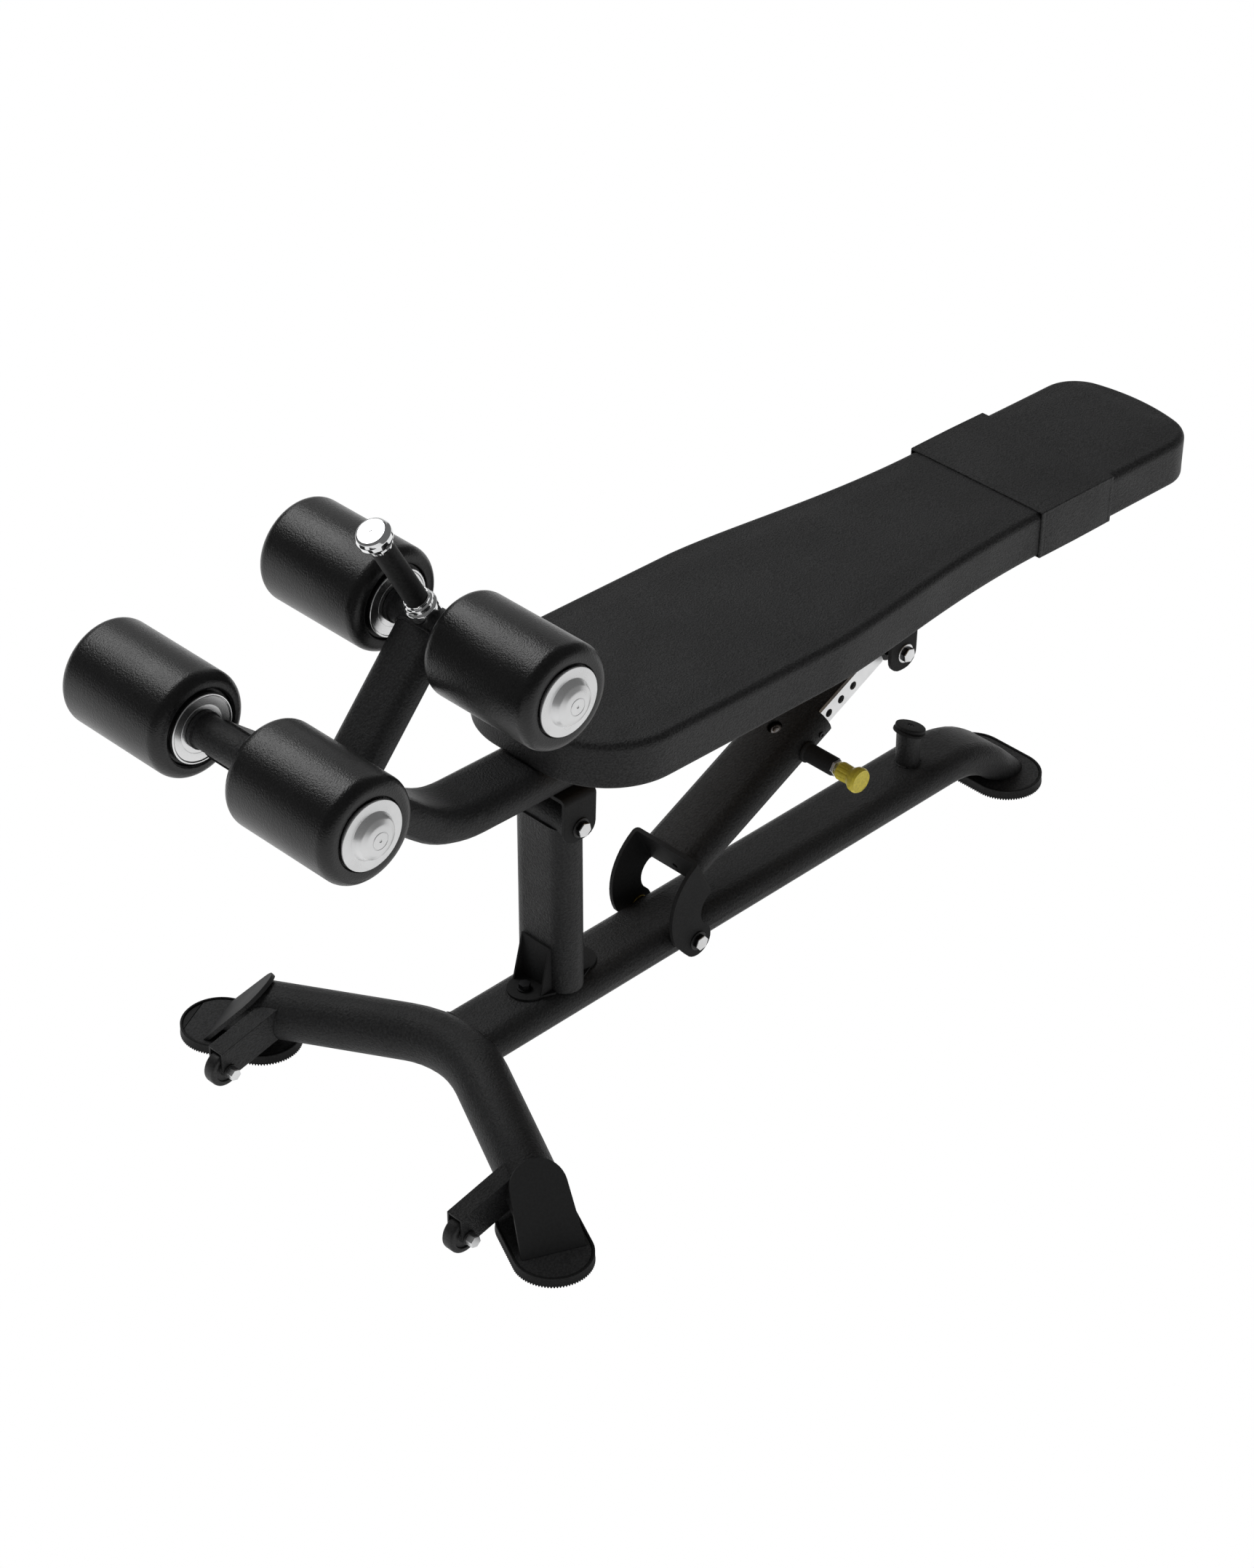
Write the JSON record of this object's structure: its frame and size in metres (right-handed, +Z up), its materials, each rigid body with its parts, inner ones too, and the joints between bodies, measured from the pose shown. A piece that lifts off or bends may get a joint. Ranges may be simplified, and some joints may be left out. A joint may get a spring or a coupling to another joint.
{
  "type": "decline sit up bench",
  "caption": "Decline sit up bench: a tapered pad on a tilting beam with foam leg rollers, held by a telescopic strut with a pop-pin on a floor frame.",
  "frame": {"origin": "centre of the bounding box in plan, on the floor", "axes": "+X along the bench towards the head end, +Y to the left looking along +X, +Z up"},
  "size_m": [1.7453, 0.7496, 0.9274],
  "materials": {
    "black_powder_coat": "fine-textured satin powder coat",
    "black_rubber": "matte",
    "grip_rubber": "smooth satin",
    "wheel_plastic": "satin",
    "black_vinyl": "fine-grained vinyl",
    "roller_vinyl": "smooth foam skin",
    "sleeve_vinyl": "fine-grained vinyl",
    "plywood": "plain",
    "zinc_steel": "bright zinc",
    "zinc_strip": "dull zinc",
    "dark_bolts": "black oxide",
    "bronze_bush": "satin",
    "chrome": "polished",
    "satin_cap": "satin",
    "yellow_plastic": "gloss"
  },
  "bodies": {
    "base": {"spine_tube": "black_powder_coat", "front_leg_tube": "black_powder_coat", "foot_plate_left": "black_powder_coat", "foot_plate_right": "black_powder_coat", "foot_plate_rear": "black_powder_coat", "foot_sole_left": "black_rubber", "foot_sole_right": "black_rubber", "foot_sole_rear": "black_rubber", "wheel_bracket_left": "black_powder_coat", "wheel_bracket_right": "black_powder_coat", "wheel_bolt_left": "zinc_steel", "wheel_bolt_right": "zinc_steel", "front_post": "black_powder_coat", "pivot_bolt": "zinc_steel", "post_bracket_front": "black_powder_coat", "post_bracket_rear": "black_powder_coat", "post_bolt_front": "dark_bolts", "post_bolt_rear": "dark_bolts", "bumper_post": "black_powder_coat", "bumper_cap": "black_rubber", "strut_pivot_bolt": "zinc_steel", "strut_bush_left": "bronze_bush", "strut_bush_right": "bronze_bush"},
    "wheel_left_body": {"wheel_left": "wheel_plastic"},
    "wheel_right_body": {"wheel_right": "wheel_plastic"},
    "bench": {"main_tube": "black_powder_coat", "beam_end_plug": "wheel_plastic", "pivot_bracket": "black_powder_coat", "strut_bracket": "black_powder_coat", "strut_lug_bolt": "zinc_steel", "upper_post": "black_powder_coat", "lower_cross_tube": "black_powder_coat", "upper_cross_tube": "black_powder_coat", "handle_stem": "zinc_steel", "handle_grip": "grip_rubber", "handle_cap": "chrome", "handle_collar": "chrome", "seat_pad": "black_vinyl", "pad_board": "plywood", "pad_sleeve": "sleeve_vinyl"},
    "strut": {"strut_tube": "black_powder_coat", "strut_yoke": "black_powder_coat", "pin_barrel": "black_powder_coat", "pin_nut": "zinc_steel"},
    "pin": {"pin_plunger": "zinc_steel", "pin_knob": "yellow_plastic"},
    "slider": {"slider_tube": "black_powder_coat", "index_strip": "zinc_strip"},
    "roller_upper_left_body": {"roller_foam_upper_left": "roller_vinyl", "roller_cap_upper_left": "satin_cap", "roller_disc_upper_left": "satin_cap"},
    "roller_upper_right_body": {"roller_foam_upper_right": "roller_vinyl", "roller_cap_upper_right": "satin_cap", "roller_disc_upper_right": "satin_cap"},
    "roller_lower_left_body": {"roller_foam_lower_left": "roller_vinyl", "roller_cap_lower_left": "satin_cap", "roller_disc_lower_left": "satin_cap"},
    "roller_lower_right_body": {"roller_foam_lower_right": "roller_vinyl", "roller_cap_lower_right": "satin_cap", "roller_disc_lower_right": "satin_cap"}
  },
  "joints": [
    {"name": "bench_tilt", "type": "hinge", "parent": "base", "child": "bench", "pos_m": [-0.29511, 0, 0.3745], "axis": [0, 1, 0], "range_deg": [0, 18.2]},
    {"name": "strut_swing", "type": "hinge", "parent": "base", "child": "strut", "pos_m": [-0.0811, 0, 0.079], "axis": [0, 1, 0], "range_deg": [0, 24.4]},
    {"name": "slider_slide", "type": "slide", "parent": "strut", "child": "slider", "axis": [0.9017, 0, 0.4324], "range_m": [-0.1156, 0]},
    {"name": "pin_pull", "type": "slide", "parent": "strut", "child": "pin", "axis": [0, -1, 0], "range_m": [0, 0.01], "stiffness_N_per_m": 900, "springref_m": -0.004},
    {"name": "wheel_spin_left", "type": "hinge", "parent": "base", "child": "wheel_left_body", "pos_m": [-0.67261, 0.23, 0.0315], "axis": [0, 1, 0], "continuous": true},
    {"name": "wheel_spin_right", "type": "hinge", "parent": "base", "child": "wheel_right_body", "pos_m": [-0.67261, -0.23, 0.0315], "axis": [0, 1, 0], "continuous": true},
    {"name": "roller_spin_upper_left", "type": "hinge", "parent": "bench", "child": "roller_upper_left_body", "pos_m": [-0.49048, 0, 0.75258], "axis": [0, 1, 0], "continuous": true},
    {"name": "roller_spin_upper_right", "type": "hinge", "parent": "bench", "child": "roller_upper_right_body", "pos_m": [-0.49048, 0, 0.75258], "axis": [0, 1, 0], "continuous": true},
    {"name": "roller_spin_lower_left", "type": "hinge", "parent": "bench", "child": "roller_lower_left_body", "pos_m": [-0.80219, 0, 0.7181], "axis": [0, 1, 0], "continuous": true},
    {"name": "roller_spin_lower_right", "type": "hinge", "parent": "bench", "child": "roller_lower_right_body", "pos_m": [-0.80219, 0, 0.7181], "axis": [0, 1, 0], "continuous": true}
  ],
  "couplings": [
    {"joint": "strut_swing", "follows": "bench_tilt", "ratio": 1.3267},
    {"joint": "slider_slide", "follows": "bench_tilt", "m_per_rad": -0.36085}
  ]
}
